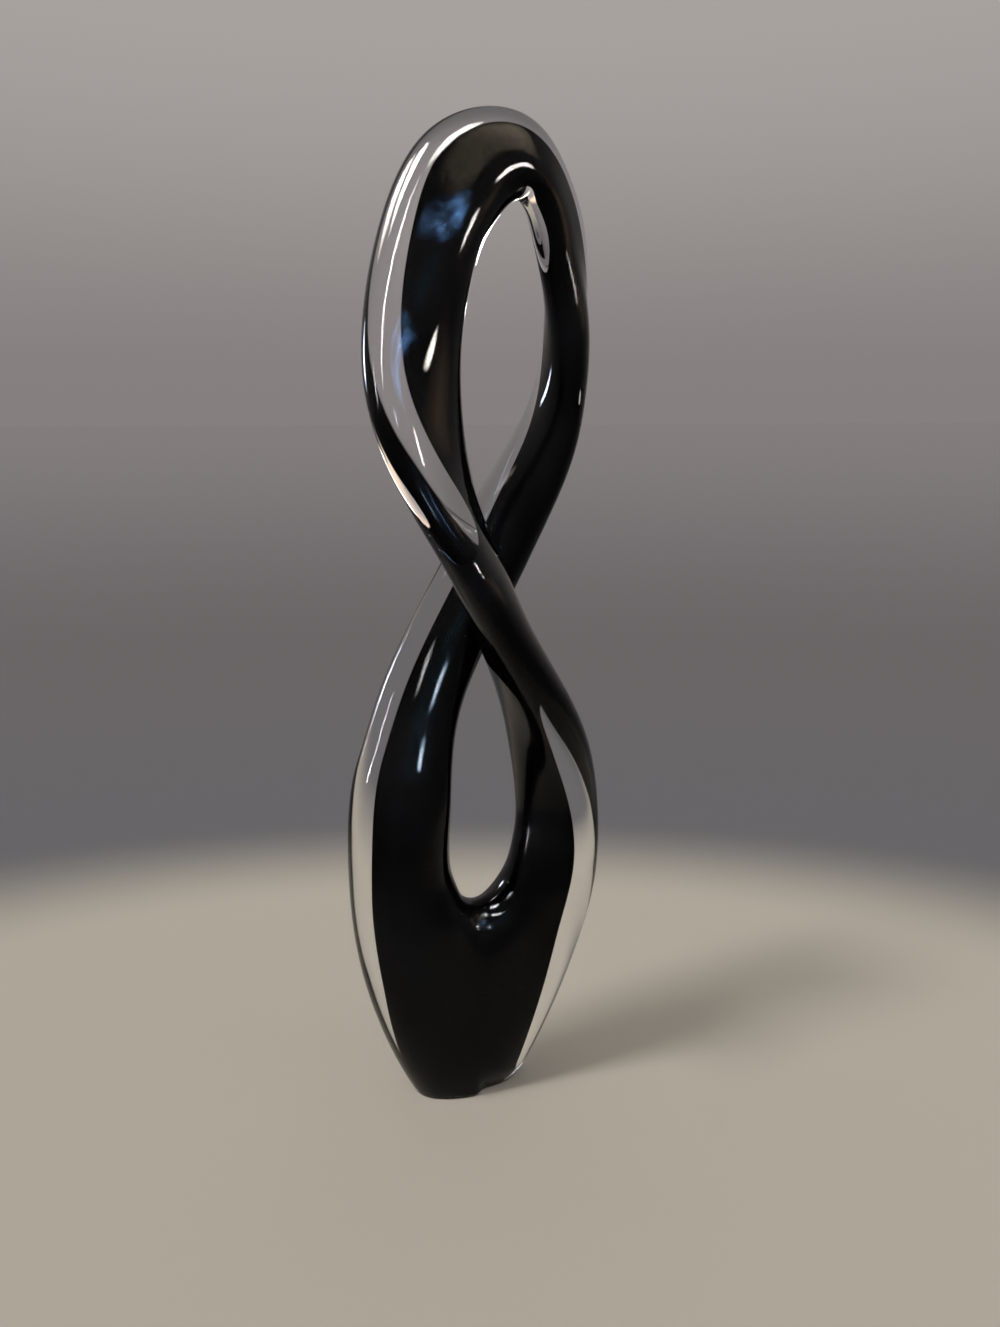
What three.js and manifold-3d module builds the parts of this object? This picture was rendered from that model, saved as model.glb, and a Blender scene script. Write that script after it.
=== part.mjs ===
// A standing sculpture of cased glass: one tall ring of glass, an opaque black core inside a clear
// casing. The ring is a flat band that is twisted by half a turn between its foot and its crown, so
// that its two arms cross and it reads as an eight. The clear glass is thickest along one edge of
// the band, which points outward on the body, forward or back at the crossing, and up at the crown.
// Millimetres, +Z up. The origin is on the ground under the middle of the foot, and the broad face
// of the body looks along -Y.
import * as THREE from "three";
import Module from "manifold-3d";

const wasm = await Module();
wasm.setup();

// The lower loop, from the ground to the crossing, and the upper loop above it
const crossingHeight = 250;
const upperLoopHeight = 200;
const lowerLoopWidth = 120;
const upperLoopWidth = 104;
const lowerLoopOffset = 5;
const upperLoopOffset = 6;

// The band: its width, and its thickness on the body, at the waist and at the crown
const bandWidth = 41;
const bodyThickness = 35;
const waistThickness = 23;
const crownThickness = 18;

// The clear glass over the core: along the thick edge, along the eyes, and over the faces
const clearEdge = 14;
const eyeSkin = 3;
const faceSkin = 3;

// Air between the two strands where they cross, and between the core and the hollow round it
const strandGap = 6.5;
const coreGap = 0.3;

// The foot's right lobe: its front stands back a little, from here on, up to this height
const lobeStart = { x: -1, width: 6 };
const lobeHeight = 12;
const lobeSetback = 4.5;

const body = bodyThickness / 2;
const waist = waistThickness / 2;
const crown = crownThickness / 2;

// How round a section's two ends are, the eye end first: 2 is a plain ellipse, more is blunter
const oval = [2.2, 2.2];
const soft = [2.7, 2.2];
const broad = [3.6, 2.5];
const swell = [2.8, 3];
const deep = [3.6, 3];
const leaf = [4.5, 2.8];
const full = [2.2, 3];
const square = [2.2, 3.5];
const crest = [2.7, 3.5];

// The two loops, as the frames that the stations are given in
const lowerLoop = {
  middle: lowerLoopOffset,
  reach: lowerLoopWidth / 2,
  floor: 0,
  height: crossingHeight,
};
const upperLoop = {
  middle: upperLoopOffset,
  reach: upperLoopWidth / 2,
  floor: crossingHeight,
  height: upperLoopHeight,
};

// At the crossing one strand stands edge on in front, the other lies flat behind
const frontDepth = (strandGap + bandWidth) / 2;
const rearDepth = (strandGap + waistThickness) / 2;

// Stations round the ring, from the foot up the right arm, forward over the crossing, up the left
// side to the crown, and back down the right side, behind the crossing and down the left arm.
// A row holds the band's eye and its thick edge as shares of the loop (across, to the rear, and up),
// half the thickness, the clear glass over the core as shares (of the clear edge, the eye skin and
// the face skin), and the ends. The face skin is thickest low on the left side of the upper loop.
const lowerFront = [
  [[0, 0, 0.396], [-0.1, 0, -0.104], 0.97 * body, [0.43, 1, 1], leaf],
  [[0.13, 0.02, 0.408], [0.41, -0.08, 0.032], body, [1.07, 1, 1], leaf],
  [[0.26, 0.08, 0.448], [0.8, -0.21, 0.24], body, [1.25, 1, 1], deep],
  [[0.34, 0.17, 0.512], [0.98, -0.42, 0.424], 0.91 * body, [1, 1, 1], swell],
  [[0.39, 0.36, 0.582], [0.99, -0.44, 0.582], 1.22 * waist, [1.07, 1, 1], oval],
  [[0.33, 0.27, 0.716], [0.77, -1.07, 0.716], 1.13 * waist, [1.29, 1, 1], oval],
  [[0.25, 0.08, 0.83], [0.43, -1.58, 0.83], 1.09 * waist, [1.43, 1, 1], oval],
  [[0.16, -0.06, 0.93], [0.1, -1.77, 0.93], 1.04 * waist, [1.21, 1, 1.1], oval],
];
const upperFront = [
  [[0.08, -0.19, 0.028], [-0.21, -1.81, 0.028], waist, [0.93, 1, 1.1], oval],
  [[-0.03, -0.19, 0.14], [-0.5, -1.62, 0.14], 0.96 * waist, [1.79, 1, 2.7], oval],
  [[-0.12, -0.21, 0.265], [-0.8, -1.26, 0.265], 0.96 * waist, [1.79, 1, 2.7], oval],
  [[-0.18, -0.34, 0.41], [-0.98, -0.91, 0.41], 0.96 * waist, [1.32, 1, 1.83], square],
  [[-0.16, -0.44, 0.557], [-0.98, -0.44, 0.557], 0.96 * waist, [1.11, 1, 1.67], square],
  [[-0.04, -0.51, 0.7], [-0.81, -0.06, 0.743], 0.96 * waist, [1, 1, 1.83], square],
  [[0.13, -0.38, 0.777], [-0.38, 0.15, 0.94], 0.96 * waist, [0.79, 1.2, 2.2], crest],
];
const upperRear = [
  [[0.34, -0.34, 0.823], [0.29, 0.14, 1], 1.17 * crown, [0.54, 2, 2.2], crest],
  [[0.49, -0.41, 0.802], [0.77, 0.68, 0.918], 1.02 * crown, [0.54, 3.7, 1.7], broad],
  [[0.6, -0.31, 0.73], [1.04, 1.19, 0.767], 1.04 * crown, [0.57, 4.2, 1.8], broad],
  [[0.79, -0.51, 0.598], [0.99, 1.8, 0.598], 1.09 * crown, [0.64, 4, 1.8], broad],
  [[0.88, -0.44, 0.448], [0.85, 2.14, 0.448], 1.07 * crown, [0.79, 2.8, 1.7], soft],
  [[0.85, -0.34, 0.325], [0.59, 2.24, 0.325], 0.9 * waist, [1, 1.7, 1.3], oval],
  [[0.72, -0.1, 0.207], [0.26, 2.14, 0.207], 0.96 * waist, [1, 1.3, 1.1], oval],
  [[0.58, 0.2, 0.102], [-0.03, 1.97, 0.102], 0.96 * waist, [1, 1.2, 1], oval],
];
const lowerRear = [
  [[0.34, 0.34, 0.992], [-0.24, 1.8, 0.992], waist, [0.93, 1, 1], full],
  [[0.12, 0.37, 0.89], [-0.49, 1.66, 0.89], 1.04 * waist, [0.93, 1, 1], full],
  [[-0.08, 0.14, 0.796], [-0.68, 1.46, 0.796], 1.09 * waist, [0.93, 1, 1], full],
  [[-0.19, -0.2, 0.704], [-0.84, 1.15, 0.704], 1.13 * waist, [0.93, 1, 1], full],
  [[-0.24, -0.54, 0.602], [-0.97, 0.85, 0.602], 1.22 * waist, [0.96, 1, 1], full],
  [[-0.23, -0.27, 0.496], [-0.99, 0.68, 0.392], 0.91 * body, [1, 1, 1], swell],
  [[-0.17, -0.14, 0.44], [-0.87, 0.34, 0.2], body, [1.07, 1, 1], deep],
  [[-0.11, -0.03, 0.408], [-0.58, 0.14, 0.016], body, [0.79, 1, 1], leaf],
];

// One station as a row of plain numbers in millimetres
function stationRow(loop, depth, [eye, edge, half, cover, ends]) {
  const place = ([across, rear, up]) => [
    loop.middle + across * loop.reach,
    rear * depth,
    loop.floor + up * loop.height,
  ];
  const [clear, rim, skin] = [cover[0] * clearEdge, cover[1] * eyeSkin, cover[2] * faceSkin];
  return [...place(eye), ...place(edge), half, clear, rim, skin, ...ends];
}

const stations = [
  ...lowerFront.map((row) => stationRow(lowerLoop, frontDepth, row)),
  ...upperFront.map((row) => stationRow(upperLoop, frontDepth, row)),
  ...upperRear.map((row) => stationRow(upperLoop, rearDepth, row)),
  ...lowerRear.map((row) => stationRow(lowerLoop, rearDepth, row)),
];

// A closed cubic B-spline runs near its control rows, not through them, so the rows are nudged
// until it runs through the stations.
function controlsThrough(rows) {
  const rounds = 40;
  let controls = rows;
  for (let round = 0; round < rounds; round++) {
    controls = controls.map((row, i) => {
      const before = controls.at(i - 1);
      const after = controls[(i + 1) % rows.length];
      return row.map((value, k) => value + rows[i][k] - (before[k] + 4 * value + after[k]) / 6);
    });
  }
  return controls;
}

const controls = controlsThrough(stations);

// The smooth row at t, which goes from 0 to 1 round the ring
function rowAt(t) {
  const count = controls.length;
  const place = (t - Math.floor(t)) * count;
  const i = Math.floor(place);
  const w = place - i;
  const weights = [
    (1 - w) ** 3,
    3 * w ** 3 - 6 * w ** 2 + 4,
    -3 * w ** 3 + 3 * w ** 2 + 3 * w + 1,
    w ** 3,
  ];
  const near = weights.map((_, k) => controls[(i - 1 + k + count) % count]);
  return near[0].map((_, k) =>
    near.reduce((sum, row, n) => sum + (weights[n] * row[k]) / 6, 0),
  );
}

// The band's section at t: its middle, the ways to its thick edge and to its face, and its sizes
function sectionAt(t) {
  const row = rowAt(t);
  const eye = new THREE.Vector3(...row.slice(0, 3));
  const edge = new THREE.Vector3(...row.slice(3, 6));
  const middleAt = (u) => {
    const near = rowAt(u);
    return new THREE.Vector3(near[0] + near[3], near[1] + near[4], near[2] + near[5]).divideScalar(2);
  };
  const nudge = 1e-4;
  const along = middleAt(t + nudge).sub(middleAt(t - nudge));
  const outward = edge.clone().sub(eye);
  const wide = outward.length() / 2;
  outward.normalize();
  const faceward = new THREE.Vector3().crossVectors(along, outward).normalize();
  const [half, clear, rim, skin, eyeEnd, edgeEnd] = row.slice(6);
  const middle = eye.add(edge).divideScalar(2);
  return { middle, outward, faceward, wide, half, clear, rim, skin, eyeEnd, edgeEnd };
}

// The outer form fills its section; the core leaves the clear edge, the eye skin and the faces
const outerForm = (s) => ({ wide: s.wide, thick: s.half, shift: 0 });
const coreForm = (grow) => (s) => ({
  wide: s.wide - (s.clear + s.rim) / 2 + grow,
  thick: s.half - s.skin + grow,
  shift: (s.rim - s.clear) / 2,
});

// The front of the foot's right lobe is drawn back towards its middle
function setBack(point) {
  if (point.y >= 0) return point;
  const across = THREE.MathUtils.smoothstep(point.x, lobeStart.x, lobeStart.x + lobeStart.width);
  const low = 1 - THREE.MathUtils.smoothstep(point.z, 0, lobeHeight);
  point.y *= 1 - (lobeSetback / body) * across * low;
  return point;
}

// A closed ring of sections as a solid. form gives a section's half sizes and its shift outward.
function ring(steps, sides, form) {
  const positions = [];
  const faces = [];
  for (let i = 0; i < steps; i++) {
    const s = sectionAt(i / steps);
    const { wide, thick, shift } = form(s);
    for (let j = 0; j < sides; j++) {
      const angle = (2 * Math.PI * j) / sides;
      const across = Math.cos(angle);
      const end = across > 0 ? s.edgeEnd : s.eyeEnd;
      const up = Math.sign(Math.sin(angle)) * Math.sqrt(1 - Math.abs(across) ** end);
      const point = s.middle
        .clone()
        .addScaledVector(s.outward, shift + wide * across)
        .addScaledVector(s.faceward, thick * up);
      positions.push(...setBack(point).toArray());
      const [i2, j2] = [(i + 1) % steps, (j + 1) % sides];
      const [a, b, c, d] = [i * sides + j, i * sides + j2, i2 * sides + j2, i2 * sides + j];
      faces.push(a, b, c, a, c, d);
    }
  }
  return solidOf(positions, faces);
}

function solidOf(positions, faces) {
  const vertProperties = new Float32Array(positions);
  const triVerts = new Uint32Array(faces);
  return new wasm.Manifold(new wasm.Mesh({ numProp: 3, vertProperties, triVerts }));
}

// Everything below the ground, as a solid to cut the foot flat with
function belowGround() {
  const reach = 2 * (lowerLoopWidth + upperLoopWidth);
  const box = new THREE.BoxGeometry(reach, reach, reach).translate(0, 0, -reach / 2);
  const positions = [];
  const corners = new Map();
  const corner = (i) => {
    const p = new THREE.Vector3().fromBufferAttribute(box.attributes.position, i);
    const key = p.toArray().join();
    if (!corners.has(key)) {
      corners.set(key, corners.size);
      positions.push(...p.toArray());
    }
    return corners.get(key);
  };
  return solidOf(positions, [...box.index.array].map(corner));
}

function meshOf(name, solid, material) {
  const { vertProperties, triVerts } = solid.getMesh();
  const geometry = new THREE.BufferGeometry()
    .setAttribute("position", new THREE.BufferAttribute(vertProperties, 3))
    .setIndex(new THREE.BufferAttribute(triVerts, 1));
  geometry.computeVertexNormals();
  const mesh = new THREE.Mesh(geometry, material);
  mesh.name = name;
  return mesh;
}

const ringSteps = 3 * stations.length;
const outerSides = 20;
const coreSides = 14;
const ground = belowGround();
const outer = ring(ringSteps, outerSides, outerForm).subtract(ground);
const hollow = ring(ringSteps, coreSides, coreForm(coreGap));
const core = ring(ringSteps, coreSides, coreForm(0)).subtract(ground);

const clearGlass = new THREE.MeshStandardMaterial({
  color: 0xe6ecee,
  roughness: 0.03,
  metalness: 0,
  transparent: true,
  opacity: 0.35,
});
const blackGlass = new THREE.MeshStandardMaterial({ color: 0x060607, roughness: 0.05, metalness: 0 });

const sculpture = new THREE.Group();
sculpture.add(
  meshOf("clear_casing", outer.subtract(hollow), clearGlass),
  meshOf("black_core", core, blackGlass),
);

export default sculpture;
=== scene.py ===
# %% [markdown]
# # A standing sculpture of cased glass
#
# The sculpture is one tall ring of solid glass: an opaque black core with a thick casing of clear
# glass gathered over it. The ring is a flat band that takes half a turn on its way from the foot to
# the crown, so its two arms cross and it reads as an eight. Almost everything that the eye enjoys
# here is refraction. The clear glass bends the view of the black core and of the room behind, and
# that is why both glasses are modelled as true closed solids, and nothing is painted on.

import bmesh
import bpy
import numpy as np
from math import radians
from mathutils import Matrix


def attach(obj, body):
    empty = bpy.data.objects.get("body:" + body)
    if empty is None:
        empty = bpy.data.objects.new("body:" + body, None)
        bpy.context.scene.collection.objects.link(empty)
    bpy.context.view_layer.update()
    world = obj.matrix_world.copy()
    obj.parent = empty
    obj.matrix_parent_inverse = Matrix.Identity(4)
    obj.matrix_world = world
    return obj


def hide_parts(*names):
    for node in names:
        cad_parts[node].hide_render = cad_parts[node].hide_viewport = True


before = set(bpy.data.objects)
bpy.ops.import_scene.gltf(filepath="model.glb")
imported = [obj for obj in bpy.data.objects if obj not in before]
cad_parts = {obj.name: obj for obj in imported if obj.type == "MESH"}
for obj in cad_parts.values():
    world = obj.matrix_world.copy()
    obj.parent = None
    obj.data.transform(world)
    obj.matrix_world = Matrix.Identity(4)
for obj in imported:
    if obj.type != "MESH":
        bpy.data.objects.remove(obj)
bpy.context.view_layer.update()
print("CAD nodes:", sorted(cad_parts))

# %% [markdown]
# ## Small helpers
#
# Colours are chosen as sRGB hex values, the way a colour picker shows them, and one function turns
# them into the linear values that Blender's nodes expect. Another adds a node, its settings and its
# links in one call, and a third fills a colour ramp. The last turns a grid of points that closes on
# itself both ways into a mesh.

# %% Colour, node, ramp and mesh helpers
MM = 0.001


def linear(hex_colour):
    """sRGB hex to linear: v / 12.92 below 0.04045, or else ((v + 0.055) / 1.055) to the 2.4."""
    value = np.array([int(hex_colour[i : i + 2], 16) / 255 for i in (1, 3, 5)])
    low, high = value / 12.92, ((value + 0.055) / 1.055) ** 2.4
    return (*np.where(value <= 0.04045, low, high).tolist(), 1.0)


def add_node(tree, kind, links=None, **settings):
    """Adds one node. Settings name its sockets or properties, and links feed sockets by name."""
    node = tree.nodes.new(kind)
    for name, value in settings.items():
        if name in node.inputs:
            node.inputs[name].default_value = value
        else:
            setattr(node, name, value)
    for name, output in (links or {}).items():
        tree.links.new(output, node.inputs[name])
    return node


def fill_ramp(ramp, stops):
    """Gives a colour ramp its stops, each a place from 0 to 1 and a hex colour, in rising order."""
    for _ in stops[len(ramp.elements) :]:
        ramp.elements.new(0.5)
    for element, (place, colour) in zip(ramp.elements, stops):
        element.position = place
        element.color = linear(colour)


def closed_mesh(name, points):
    """A grid of points, (around the ring, round the section, xyz), as a mesh of quads."""
    rings, sides = points.shape[:2]
    i, j = np.meshgrid(np.arange(rings), np.arange(sides), indexing="ij")
    i2, j2 = (i + 1) % rings, (j + 1) % sides
    quads = np.stack([i * sides + j, i * sides + j2, i2 * sides + j2, i2 * sides + j], -1)
    mesh = bpy.data.meshes.new(name)
    mesh.from_pydata(points.reshape(-1, 3).tolist(), [], quads.reshape(-1, 4).tolist())
    piece = bpy.data.objects.new(name, mesh)
    bpy.context.collection.objects.link(piece)
    return piece


print("the mid grey #808080 is", round(linear("#808080")[0], 3), "in linear light")

# %% [markdown]
# ## The camera
#
# The photograph was taken from close by with a phone: about one object height away, almost three
# quarters of the way up, and looking down by 14 degrees. The phone was 20 degrees round to the left
# of the body's broad face. From so near, the crown looks larger than the foot, so the distance
# matters as much as the angle. A 27 mm lens on a 36 mm sensor held upright gives the same view.

# %% Camera
SENSOR = 36.0
PHOTO_HEIGHT, FOCAL_PIXELS = 1327, 1000.0
CAMERA_TURN, CAMERA_TILT = radians(20), radians(14)
CAMERA_SIDE, CAMERA_BACK, CAMERA_UP = 16.5 * MM, 444 * MM, 328.6 * MM
NEAREST_SEEN = 10 * MM

lens = bpy.data.cameras.new("camera")
lens.sensor_width = SENSOR
lens.lens = SENSOR * FOCAL_PIXELS / PHOTO_HEIGHT
lens.clip_start = NEAREST_SEEN
camera = bpy.data.objects.new("camera", lens)
camera.location = (
    CAMERA_SIDE * np.cos(CAMERA_TURN) - CAMERA_BACK * np.sin(CAMERA_TURN),
    -CAMERA_SIDE * np.sin(CAMERA_TURN) - CAMERA_BACK * np.cos(CAMERA_TURN),
    CAMERA_UP,
)
camera.rotation_euler = (radians(90) - CAMERA_TILT, 0, -CAMERA_TURN)
bpy.context.collection.objects.link(camera)
bpy.context.scene.camera = camera
print("camera at", [round(v, 3) for v in camera.location], "lens", round(lens.lens, 1), "mm")

# %% [markdown]
# ## The stations
#
# A maker would describe this ring by laying a ruler across the band at a few places on the way
# round. That is what a station is: the point on the edge that borders the eye, the point on the
# thick clear edge, and half the band's thickness. Three more values say how much clear glass lies
# over the core at the edge, at the eye and over the faces, and two say how blunt the section is at
# its eye end and its thick end (2 is a plain ellipse).
#
# The rows start at the foot, go up the right arm, come forward over the crossing, climb the left
# side to the crown, and return down the right side, behind the crossing and down the left arm.

# %% Stations, in millimetres
# eye x, y, z,  edge x, y, z,  half thickness,  cover at the edge, eye and faces,  the two ends
STATIONS = np.array([
    (5, 0, 99, -1, 0, -26, 17, 6, 3, 3, 4.5, 2.8),
    (13, 0.5, 102, 29.5, -2, 8, 17.5, 15, 3, 3, 4.5, 2.8),
    (20.5, 2, 112, 53, -5, 60, 17.5, 17.5, 3, 3, 3.6, 3),
    (25.5, 4, 128, 64, -10, 106, 16, 14, 3, 3, 2.8, 3),
    (28.5, 8.5, 145.5, 64.5, -10.5, 145.5, 14, 15, 3, 3, 2.2, 2.2),
    (25, 6.5, 179, 51, -25.5, 179, 13, 18, 3, 3, 2.2, 2.2),
    (20, 2, 207.5, 31, -37.5, 207.5, 12.5, 20, 3, 3, 2.2, 2.2),
    (14.5, -1.5, 232.5, 11, -42, 232.5, 12, 17, 3, 3.3, 2.2, 2.2),
    (10, -4.5, 255.5, -5, -43, 255.5, 11.5, 13, 3, 3.3, 2.2, 2.2),
    (4.5, -4.5, 278, -20, -38.5, 278, 11, 25, 3, 8, 2.2, 2.2),
    (-0.5, -5, 303, -35.5, -30, 303, 11, 25, 3, 8, 2.2, 2.2),
    (-3.5, -8, 332, -45, -21.5, 332, 11, 18.5, 3, 5.5, 2.2, 3.5),
    (-2.5, -10.5, 361.5, -45, -10.5, 361.5, 11, 15.5, 3, 5, 2.2, 3.5),
    (4, -12, 390, -36, -1.5, 398.5, 11, 14, 3, 5.5, 2.2, 3.5),
    (13, -9, 405.5, -14, 3.5, 438, 11, 11, 3.5, 6.6, 2.7, 3.5),
    (23.5, -5, 414.5, 21, 2, 449.5, 10.5, 7.5, 6, 6.6, 2.7, 3.5),
    (31.5, -6, 410.5, 46, 10, 433.5, 9.2, 7.5, 11, 5, 3.6, 2.5),
    (37, -4.5, 396, 60, 17.5, 403.5, 9.4, 8, 12.5, 5.4, 3.6, 2.5),
    (47, -7.5, 369.5, 57.5, 26.5, 369.5, 9.8, 9, 12, 5.4, 3.6, 2.5),
    (51.5, -6.5, 339.5, 50, 31.5, 339.5, 9.6, 11, 8.5, 5, 2.7, 2.2),
    (50, -5, 315, 36.5, 33, 315, 10.3, 14, 5, 3.8, 2.2, 2.2),
    (43.5, -1.5, 291.5, 19.5, 31.5, 291.5, 11, 14, 4, 3.3, 2.2, 2.2),
    (36, 3, 270.5, 4.5, 29, 270.5, 11, 14, 3.5, 3, 2.2, 2.2),
    (25.5, 5, 248, -9.5, 26.5, 248, 11.5, 13, 3, 3, 2.2, 3),
    (12, 5.5, 222.5, -24.5, 24.5, 222.5, 12, 13, 3, 3, 2.2, 3),
    (0, 2, 199, -36, 21.5, 199, 12.5, 13, 3, 3, 2.2, 3),
    (-6.5, -3, 176, -45.5, 17, 176, 13, 13, 3, 3, 2.2, 3),
    (-9.5, -8, 150.5, -53, 12.5, 150.5, 14, 13.5, 3, 3, 2.2, 3),
    (-9, -4, 124, -54.5, 10, 98, 16, 14, 3, 3, 2.8, 3),
    (-5.5, -2, 110, -47, 5, 50, 17.5, 15, 3, 3, 3.6, 3),
    (-1.5, -0.5, 102, -29.5, 2, 4, 17.5, 11, 3, 3, 4.5, 2.8),
])
band = np.linalg.norm(STATIONS[:, 3:6] - STATIONS[:, 0:3], axis=1)
print(len(STATIONS), "stations, the band", band.min().round(), "to", band.max().round(), "mm wide")

# %% [markdown]
# ## One smooth curve through the stations
#
# Glass that was pulled while hot has no kinks, and a highlight shows any that a model has. A
# Catmull-Rom curve would pass through the stations, but its bend jumps at each one, and the jumps
# show as ripples in reflections. A cubic B-spline has a bend that changes without jumps, but runs
# only near its control rows. So the control rows are nudged, over and over, by what the curve
# still misses, until it runs through every station.

# %% The closed B-spline
NUDGE_ROUNDS = 60


def controls_through(rows):
    """At a control row the curve is (before + 4 row + after) / 6. Adds the miss until it is nil."""
    controls = rows.copy()
    for _ in range(NUDGE_ROUNDS):
        before, after = np.roll(controls, 1, 0), np.roll(controls, -1, 0)
        controls += rows - (before + 4 * controls + after) / 6
    return controls


def curve(controls, t):
    """The B-spline's rows and their slopes at t, from 0 to 1 round the ring.

    With w as the way from one control row to the next, the four nearest rows count for
    (1-w)^3, 3w^3-6w^2+4, -3w^3+3w^2+3w+1 and w^3, all over 6.
    """
    place = (t % 1.0) * len(controls)
    start = np.floor(place).astype(int)
    w = (place - start)[:, None]
    near = [controls[(start + k) % len(controls)] for k in (-1, 0, 1, 2)]
    weights = [(1 - w) ** 3, 3 * w**3 - 6 * w**2 + 4, -3 * w**3 + 3 * w**2 + 3 * w + 1, w**3]
    slopes = [-3 * (1 - w) ** 2, 9 * w**2 - 12 * w, -9 * w**2 + 6 * w + 3, 3 * w**2]
    rows = sum(a * row for a, row in zip(weights, near)) / 6
    ways = sum(a * row for a, row in zip(slopes, near)) / 6
    return rows, ways


CONTROLS = controls_through(STATIONS)
miss = np.abs(curve(CONTROLS, np.arange(len(STATIONS)) / len(STATIONS))[0] - STATIONS).max()
print("the curve misses its stations by", round(float(miss), 6), "mm")

# %% [markdown]
# ## The lobes of the foot
#
# The foot has two lobes, and the right one stands a few millimetres further back than the left. A
# smooth step across the foot and another that fades with height draw its front back, so that no
# crease shows where the lobes meet.

# %% The set back lobe
LOBE_START, LOBE_WIDTH, LOBE_HEIGHT, LOBE_SETBACK = -1.0, 6.0, 12.0, 4.5
BODY_HALF = 17.5


def smoothstep(value):
    """0 below 0, 1 above 1, and 3v^2 - 2v^3 between."""
    v = np.clip(value, 0, 1)
    return v * v * (3 - 2 * v)


def set_back(points):
    """Shrinks y in front by setback / body half x step(x) x (1 - step(z)), points in millimetres."""
    x, y, z = points[..., 0], points[..., 1], points[..., 2]
    share = smoothstep((x - LOBE_START) / LOBE_WIDTH) * (1 - smoothstep(z / LOBE_HEIGHT))
    points[..., 1] = np.where(y < 0, y * (1 - LOBE_SETBACK / BODY_HALF * share), y)
    return points


print("the foot's right lobe is set back by", LOBE_SETBACK, "mm")

# %% [markdown]
# ## From the curve to a surface
#
# At each step round the ring, the section is a rounded form in the plane of two directions: across
# the band, from the eye to the thick edge, and through its face. The same function makes both
# glasses. The core's section is the casing's, drawn in by the clear glass on each side and moved
# away from the thick edge, so the two can never cross. The drawn sizes are limits, and polishing
# takes a little off, so the casing's surface stays 0.2 mm inside them.

# %% The ring surface
POLISH = 0.2


def ring(rings, sides, is_core):
    """Section point = middle + outward (shift + wide cos a) + faceward (thick rise).

    rise is the sign of sin a times the root of 1 - |cos a|^end, so an end of 2 gives an ellipse.
    """
    rows, ways = curve(CONTROLS, np.arange(rings) / rings)
    eye, edge = rows[:, 0:3], rows[:, 3:6]
    half, clear, rim, skin, eye_end, edge_end = rows[:, 6:].T
    span = np.linalg.norm(edge - eye, axis=1)
    outward = (edge - eye) / span[:, None]
    faceward = np.cross((ways[:, 0:3] + ways[:, 3:6]) / 2, outward)
    faceward /= np.linalg.norm(faceward, axis=1)[:, None]
    wide, thick, shift = span / 2 - POLISH, half - POLISH, np.zeros(rings)
    if is_core:
        wide, thick, shift = (span - clear - rim) / 2, half - skin, (rim - clear) / 2
    angle = 2 * np.pi * np.arange(sides) / sides
    across = np.cos(angle)[None, :]
    end = np.where(across > 0, edge_end[:, None], eye_end[:, None])
    rise = np.sign(np.sin(angle)) * np.sqrt(np.maximum(0, 1 - np.abs(across) ** end))
    along_band = shift[:, None] + wide[:, None] * across
    points = ((eye + edge) / 2)[:, None] + outward[:, None] * along_band[..., None]
    points = points + faceward[:, None] * (thick[:, None] * rise)[..., None]
    return set_back(points) * MM


print("polishing takes", POLISH, "mm off the casing")

# %% [markdown]
# ## Grinding the foot
#
# A piece worked hot ends in a rough scar where it is cracked off, and the maker grinds it flat on a
# wheel so that it stands. The ring runs on below the ground here, and a plane cuts it in the same
# way. The cut is closed with one flat face, and only quads are shaded smooth, so the cut keeps its
# edge.

# %% The ground foot
def ground_foot(piece, height):
    """Keeps what lies over that height, in metres, and closes the cut with one face."""
    work = bmesh.new()
    work.from_mesh(piece.data)
    everything = work.verts[:] + work.edges[:] + work.faces[:]
    bmesh.ops.bisect_plane(
        work, geom=everything, plane_co=(0, 0, height), plane_no=(0, 0, -1), clear_outer=True
    )
    rim = [edge for edge in work.edges if edge.is_boundary]
    bmesh.ops.holes_fill(work, edges=rim)
    bmesh.ops.recalc_face_normals(work, faces=work.faces)
    for face in work.faces:
        face.smooth = len(face.verts) == 4
    work.to_mesh(piece.data)
    print(piece.name, len(work.faces), "faces,", round(work.calc_volume() * 1e6), "cm3")
    work.free()


# %% [markdown]
# ## The two glasses
#
# In the real piece the two glasses are fused, so there is no air between them. Blender gets that
# right when the opaque core simply sits inside a closed solid of clear glass: a ray bends once as
# it enters the clear glass and then meets the core. A hollow with walls of its own would put a
# false film of air round the core, and that film would mirror the room. The core stops 0.2 mm above
# the ground, so that the two cut faces don't lie in one plane.

# %% Casing and core
RINGS = 620
CASING_SIDES, CORE_SIDES = 72, 56
CORE_LIFT = 0.2

casing = closed_mesh("clear_glass", ring(RINGS, CASING_SIDES, is_core=False))
ground_foot(casing, 0.0)
core = closed_mesh("black_glass", ring(RINGS, CORE_SIDES, is_core=True))
ground_foot(core, CORE_LIFT * MM)

GLASSES = ((casing, "clear_casing", "clear_glass"), (core, "black_core", "black_glass"))
for piece, node, slot in GLASSES:
    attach(piece, "root")
    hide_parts(node)

# %% [markdown]
# ## Clear glass
#
# Studio glass is a soda-lime crystal: colourless, polished by its own heat, with an index of about
# 1.5. Full transmission and no roughness give that. The mirror tint holds back the shine of the
# parts that face the camera, so that the black stays as deep as it is on the real piece. The rims
# keep all of theirs.

# %% Clear glass
GLASS_IOR = 1.5
MIRROR_TINT = "#7c7c7c"


def new_material(name):
    """An empty material with a Principled shader wired to its output."""
    material = bpy.data.materials.new(name)
    material.use_nodes = True
    tree = material.node_tree
    tree.nodes.clear()
    shader = add_node(tree, "ShaderNodeBsdfPrincipled")
    add_node(tree, "ShaderNodeOutputMaterial", links={"Surface": shader.outputs["BSDF"]})
    return material, tree, shader


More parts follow.
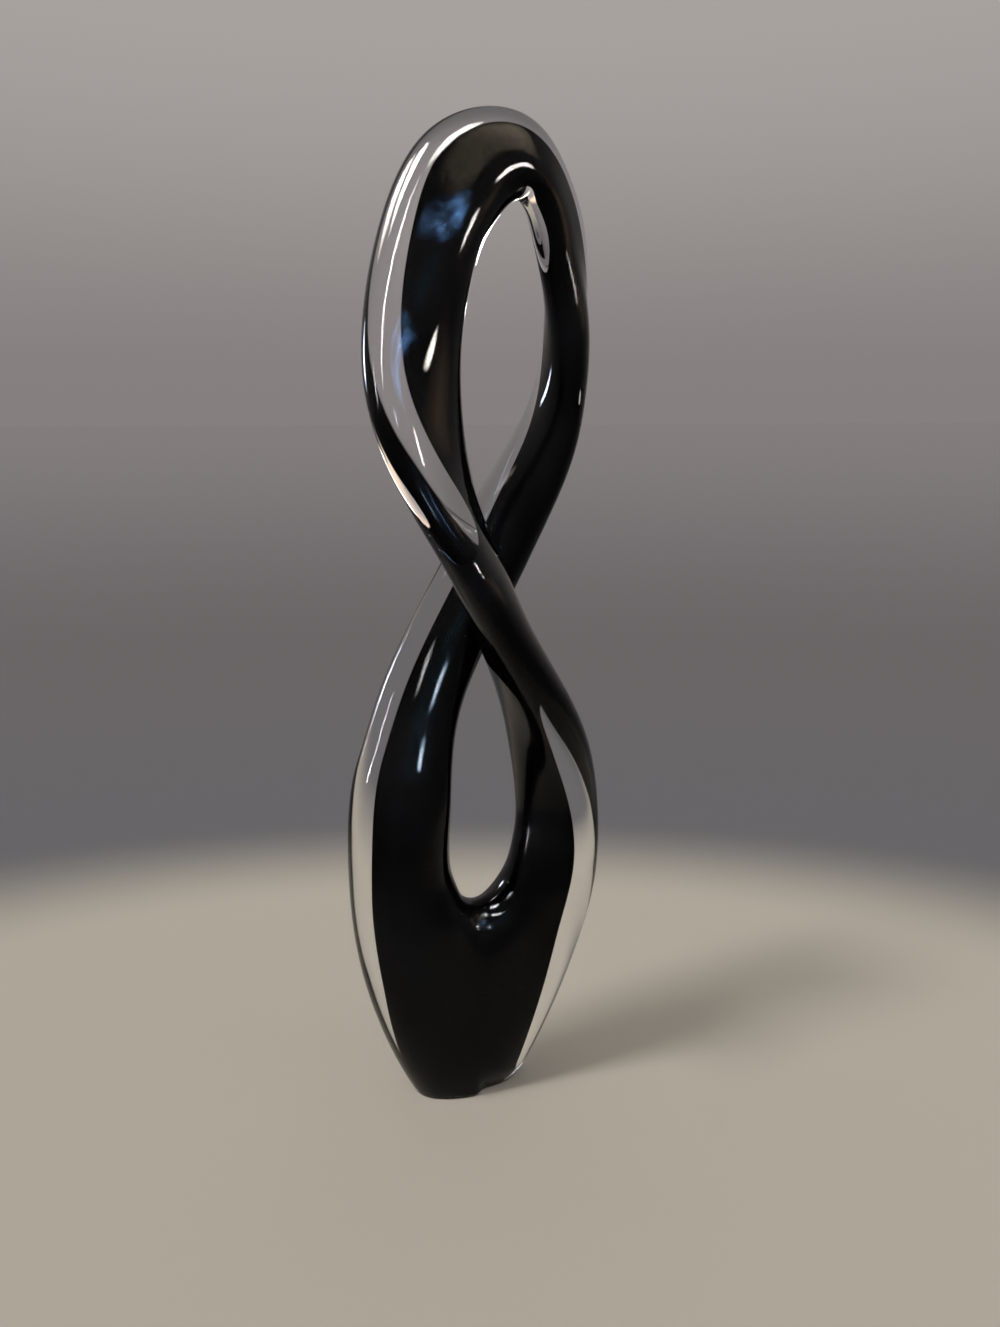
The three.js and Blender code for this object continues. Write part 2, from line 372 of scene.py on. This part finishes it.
glass, glass_tree, glass_shader = new_material("Gathered clear studio glass, fire polished")
glass_shader.inputs["Base Color"].default_value = linear("#ffffff")
glass_shader.inputs["Transmission Weight"].default_value = 1.0
glass_shader.inputs["Specular Tint"].default_value = linear(MIRROR_TINT)
glass_shader.inputs["IOR"].default_value = GLASS_IOR
casing.data.materials.append(glass)
print("clear glass has an index of", GLASS_IOR)

# %% [markdown]
# ## Ripples and cords
#
# A gathered surface is never optically flat. Turning the pipe leaves very low, long ripples along
# the band, and the layers of glass leave shorter and far lower cords in it. They make the highlights
# on the real piece waver. Two weak bumps give the same, the second fed with the first one's normal.
# Their wavelengths and heights are in millimetres.

# %% Ripples and cords
RIPPLES = {"wavelength": 40.0, "height": 0.12}
CORDS = {"wavelength": 12.0, "height": 0.006}

on_casing = {"Vector": add_node(glass_tree, "ShaderNodeTexCoord").outputs["Object"]}
normal = {}
for wave in (RIPPLES, CORDS):
    grain = {"Scale": 1 / (wave["wavelength"] * MM), "Detail": 0.0}
    noise = add_node(glass_tree, "ShaderNodeTexNoise", links=on_casing, **grain)
    links = {"Height": noise.outputs["Fac"], **normal}
    bump = add_node(glass_tree, "ShaderNodeBump", links=links, Distance=wave["height"] * MM)
    normal = {"Normal": bump.outputs["Normal"]}
glass_tree.links.new(normal["Normal"], glass_shader.inputs["Normal"])
print("ripples", RIPPLES, "and cords", CORDS)

# %% [markdown]
# ## Smears
#
# Fire gives a perfect polish, and hands and cloths spoil it a little. A few faint smears soften the
# rim of a highlight here and there. The noise is cut so that most of the glass keeps no roughness
# at all, because evenly rough glass looks like plastic.

# %% Smears
SMEAR_MM = 22.0
SMEAR_GRAIN = {"Detail": 6.0, "Roughness": 0.7}
SMEAR_RANGE = {"From Min": 0.55, "From Max": 0.75, "To Max": 0.03}

grain = {"Scale": 1 / (SMEAR_MM * MM), **SMEAR_GRAIN}
noise = add_node(glass_tree, "ShaderNodeTexNoise", links=on_casing, **grain)
links = {"Value": noise.outputs["Fac"]}
smear = add_node(glass_tree, "ShaderNodeMapRange", links=links, **SMEAR_RANGE)
smear.interpolation_type = "SMOOTHSTEP"
glass_tree.links.new(smear.outputs["Result"], glass_shader.inputs["Roughness"])
print("smears reach a roughness of", SMEAR_RANGE["To Max"])

# %% [markdown]
# ## Black glass
#
# The core is an opaque black glass, coloured right through. Clear glass is fused over it and both
# have nearly the same index, so their joint doesn't reflect: a core with a gloss of its own would
# be wrong. All the shine on the black is the casing's. What the core shows is only its depth of
# black, which is a little uneven where the colour was thinned by pulling.

# %% Black glass
SMOKE_MM, SMOKE_DETAIL = 25.0, 3.0
BLACK_TONES = ((0.35, "#010101"), (0.75, "#050506"))
BLACK_ROUGHNESS = 0.6

black, black_tree, black_shader = new_material("Opaque black glass, fused under clear")
black_shader.inputs["Roughness"].default_value = BLACK_ROUGHNESS
black_shader.inputs["Specular IOR Level"].default_value = 0.0
on_core = {"Vector": add_node(black_tree, "ShaderNodeTexCoord").outputs["Object"]}
grain = {"Scale": 1 / (SMOKE_MM * MM), "Detail": SMOKE_DETAIL}
smoke = add_node(black_tree, "ShaderNodeTexNoise", links=on_core, **grain)
tone = add_node(black_tree, "ShaderNodeValToRGB", links={"Fac": smoke.outputs["Fac"]})
fill_ramp(tone.color_ramp, BLACK_TONES)
black_tree.links.new(tone.outputs["Color"], black_shader.inputs["Base Color"])
core.data.materials.append(black)
print("black glass runs from", BLACK_TONES[0][1], "to", BLACK_TONES[1][1])

# %% [markdown]
# ## Floor
#
# The floor is one sheet of matt paper, and a pool of light is painted into its colour: it is pale
# where the sculpture stands. Clear glass shows whatever stands behind it, so the sheet also fills
# the clear windows of the sculpture, and it has to carry some tone: clear glass in front of pure
# white looks like white paint. The painted pool is wider than it is deep, as seen from the camera,
# and ends
# 0.2 m behind the sculpture. By a third of a metre the painted light has fallen to a dark grey,
# which then rises slowly until it meets the foot of the room's wall in one tone.
#
# The ramp runs on distance / (distance + 1 m). Perspective crowds the far floor together in the
# same way, so the tones change evenly up the picture and show no band.

# %% Matt paper with a painted pool of light
# Painted pool of light: pale near the foot, a dark grey beyond it, then the wall's tone far away.
FLOOR_TONES_WITH_PAINTED_POOL = ((0.2, "#b1a99b"), (0.34, "#696768"), (0.9, "#6c6868"), (60.0, "#857f7f"))
HALF_WAY = 1.0
PAINTED_POOL_WIDTH = 1.8
PAPER_ROUGHNESS = 0.9

paper, paper_tree, paper_shader = new_material("Matt paper with a painted pool of light")
paper_shader.inputs["Roughness"].default_value = PAPER_ROUGHNESS
paper_shader.inputs["Specular IOR Level"].default_value = 0.0
links = {"Vector": add_node(paper_tree, "ShaderNodeTexCoord").outputs["Object"]}
# The oval shape of the painted pool of light, turned to face the camera.
painted_pool_oval = {"vector_type": "TEXTURE", "Rotation": (0, 0, -CAMERA_TURN), "Scale": (PAINTED_POOL_WIDTH, 1, 1)}
painted_pool = add_node(paper_tree, "ShaderNodeMapping", links=links, **painted_pool_oval)
links = {0: painted_pool.outputs["Vector"]}
radius = add_node(paper_tree, "ShaderNodeVectorMath", links=links, operation="LENGTH")
away = radius.outputs["Value"]
longer = add_node(paper_tree, "ShaderNodeMath", links={0: away}, operation="ADD")
longer.inputs[1].default_value = HALF_WAY
links = {0: away, 1: longer.outputs[0]}
share = add_node(paper_tree, "ShaderNodeMath", links=links, operation="DIVIDE")
# The paper's colour ramp, with the pool of light painted in near the foot.
sheet = add_node(paper_tree, "ShaderNodeValToRGB", links={"Fac": share.outputs[0]})
sheet.color_ramp.interpolation = "EASE"
stops = [(metres / (metres + HALF_WAY), colour) for metres, colour in FLOOR_TONES_WITH_PAINTED_POOL]
fill_ramp(sheet.color_ramp, stops)
paper_tree.links.new(sheet.outputs["Color"], paper_shader.inputs["Base Color"])
print("paper tones at", [round(place, 2) for place, _ in stops], "of the ramp")

# %% The sheet on the floor
FLOOR_SIZE = 60

bpy.ops.mesh.primitive_plane_add(size=FLOOR_SIZE)
floor = bpy.context.object
floor.name = "floor"
floor.data.materials.append(paper)
print("the sheet is", FLOOR_SIZE, "m wide")

# %% [markdown]
# ## Where a lamp stands
#
# Glass is lit by what it mirrors, so each lamp here is placed by the highlight that it makes. A
# view ray that meets the glass at a highlight is turned by the mirror law, and the lamp stands
# where it points. Directions are given as on a compass: 0 is straight in front of the body's broad
# face, and a positive turn is to the right of someone who looks at that face.

# %% Standing a lamp
AIM = np.array([0.0, 0.0, 0.3])
LAMP_DISTANCE = 3.0


def turned(turn, rise):
    """The way to a compass turn and a rise, both in degrees, as x, y, z."""
    turn, rise = radians(turn), radians(rise)
    return np.array([np.sin(turn) * np.cos(rise), -np.cos(turn) * np.cos(rise), np.sin(rise)])


def place_lamp(name, data, turn, rise, roll=0):
    """Stands the lamp in its direction from the glass, facing it, and rolled about its own axis."""
    piece = bpy.data.objects.new(name, data)
    facing = Matrix.Rotation(radians(turn), 4, "Z") @ Matrix.Rotation(radians(90 - rise), 4, "X")
    stand = Matrix.Translation(AIM + LAMP_DISTANCE * turned(turn, rise))
    piece.matrix_world = stand @ facing @ Matrix.Rotation(radians(roll), 4, "Z")
    bpy.context.collection.objects.link(piece)
    return piece


print("lamps stand", LAMP_DISTANCE, "m from a point", AIM[2], "m over the foot")

# %% [markdown]
# ## A softbox
#
# Sizes are given in degrees, as the angles that a lamp fills when seen from the glass. A softbox is
# brightest in its middle, and its glow falls off to its rim, so its mirror image has no hard edge.
# It is there to be mirrored and seen through the glass, and is kept off matt surfaces. A mottled one
# is broken up by a noise, for things in a room that are no even light.

# %% A softbox
MOTTLE_GRAIN = {"Detail": 5.0, "Roughness": 0.7}
MOTTLE_RANGE = {"From Min": 0.44, "From Max": 0.6, "To Min": 0.1, "To Max": 1.8}


def softbox(name, turn, rise, width, height, glow, colour, roll=0, mottle=0):
    """An area lamp. Its brightness is glow x (1 - r) from the middle to the rim, r being elliptic.

    Blender wants its watts, which are glow x area x pi. A mottled one has that many blobs across.
    """
    data = bpy.data.lights.new(name, "AREA")
    data.shape = "RECTANGLE"
    data.size, data.size_y = (2 * LAMP_DISTANCE * np.tan(radians(a) / 2) for a in (width, height))
    data.energy = glow * data.size * data.size_y * np.pi
    data.color = linear(colour)[:3]
    data.use_nodes = True
    tree = data.node_tree
    spot = add_node(tree, "ShaderNodeNewGeometry").outputs["Parametric"]
    centred = add_node(tree, "ShaderNodeVectorMath", links={0: spot}, operation="MULTIPLY_ADD")
    centred.inputs[1].default_value = (2, 2, 0)
    centred.inputs[2].default_value = (-1, -1, 0)
    links = {"Vector": centred.outputs[0]}
    fade = add_node(tree, "ShaderNodeTexGradient", links=links, gradient_type="SPHERICAL")
    strength = fade.outputs["Fac"]
    if mottle:
        grain = {"Scale": mottle, **MOTTLE_GRAIN}
        noise = add_node(tree, "ShaderNodeTexNoise", links={"Vector": spot}, **grain)
        links = {"Value": noise.outputs["Fac"]}
        uneven = add_node(tree, "ShaderNodeMapRange", links=links, **MOTTLE_RANGE)
        links = {0: strength, 1: uneven.outputs["Result"]}
        strength = add_node(tree, "ShaderNodeMath", links=links, operation="MULTIPLY").outputs[0]
    emission = next(node for node in tree.nodes if node.type == "EMISSION")
    tree.links.new(strength, emission.inputs["Strength"])
    place_lamp(name, data, turn, rise, roll).visible_diffuse = False


print("a mottled softbox varies from", MOTTLE_RANGE["To Min"], "to", MOTTLE_RANGE["To Max"])

# %% [markdown]
# ## The lamps
#
# The windows and strips on the left draw the white streaks down the clear edge, the crown window
# lies along the top of the black core, and the right lamp makes the highlight under the crown. The
# mottled ones are a blue window, a teal glow under it and a brown board, which only tint the black.
#
# The floor gets its real light from the ceiling spot and the room alone, at a plain level, so it
# renders in about the colours that it is given, and those carry its painted pool of light.

# %% The lamps
# turn and rise, width and height, all in degrees, then the glow and its colour
softbox("left_strip", -38, 37, 5, 30, 240, "#fbfcff", roll=-12)
softbox("high_left_window", -74, 54, 15, 26, 240, "#fbfcff")
softbox("far_left_window", -108, 46, 26, 26, 100, "#fff6ec")
softbox("low_left_strip", -79, 15, 6, 20, 200, "#fbfcff")
softbox("crown_window", -9, 56, 24, 10, 260, "#fdfaf5", roll=12)
softbox("small_window", -9, 16, 9, 6, 170, "#cfe4ff", roll=-20)
softbox("right_lamp", 37, 15, 8, 8, 290, "#fff8ee")
softbox("blue_window", 8, 32, 38, 13, 56, "#6f9fdc", roll=-27, mottle=3)
softbox("teal_glow", -12, 18, 54, 20, 5, "#4f8fa8", mottle=7)
softbox("brown_board", 30, 43, 56, 20, 26, "#b3a48f", roll=-18, mottle=40)
softbox("low_brown_board", 60, 12, 50, 14, 2.5, "#c9a88a")
softbox("low_rear_lamp", -139, 9, 8, 16, 90, "#dfeaff")
print(len(bpy.data.lights), "softboxes")

# %% The ceiling spot
SUN_STRENGTH, SUN_WIDTH = 1.5, 12

sun = bpy.data.lights.new("ceiling_spot", "SUN")
sun.energy = SUN_STRENGTH
sun.angle = radians(SUN_WIDTH)
place_lamp("ceiling_spot", sun, -85, 60)
print("the ceiling spot has a strength of", sun.energy)

# %% [markdown]
# ## The room
#
# The room's own light is even and fills the shadow on the floor. For the camera, and for all that
# glass mirrors or lets through, the room is a plain wall. It starts in the floor's grey, is palest
# well above the crown and darkens again towards the ceiling.

# %% The room
FILL = "#c3c3c5"
WALL_TONES = ((0.01, "#857f7f"), (0.34, "#a8a29f"), (0.9, "#7d7b7c"))

world = bpy.data.worlds.new("studio")
bpy.context.scene.world = world
world.use_nodes = True
world_tree = world.node_tree
world_tree.nodes.clear()
ray = add_node(world_tree, "ShaderNodeLightPath")
seen = ray.outputs["Is Camera Ray"]
for kind in ("Is Glossy Ray", "Is Transmission Ray"):
    links = {0: seen, 1: ray.outputs[kind]}
    seen = add_node(world_tree, "ShaderNodeMath", links=links, operation="MAXIMUM").outputs[0]
way = add_node(world_tree, "ShaderNodeTexCoord").outputs["Generated"]
rise = add_node(world_tree, "ShaderNodeSeparateXYZ", links={0: way}).outputs["Z"]
wall = add_node(world_tree, "ShaderNodeValToRGB", links={"Fac": rise})
wall.color_ramp.interpolation = "EASE"
fill_ramp(wall.color_ramp, WALL_TONES)
fill = add_node(world_tree, "ShaderNodeBackground", Color=linear(FILL), Strength=1.0)
room = add_node(world_tree, "ShaderNodeBackground", links={"Color": wall.outputs["Color"]})
links = {0: seen, 1: fill.outputs[0], 2: room.outputs[0]}
either = add_node(world_tree, "ShaderNodeMixShader", links=links)
add_node(world_tree, "ShaderNodeOutputWorld", links={"Surface": either.outputs[0]})

bpy.context.scene.view_settings.view_transform = "Standard"
print("the room fills with", FILL, "and its wall starts at", WALL_TONES[0][1])
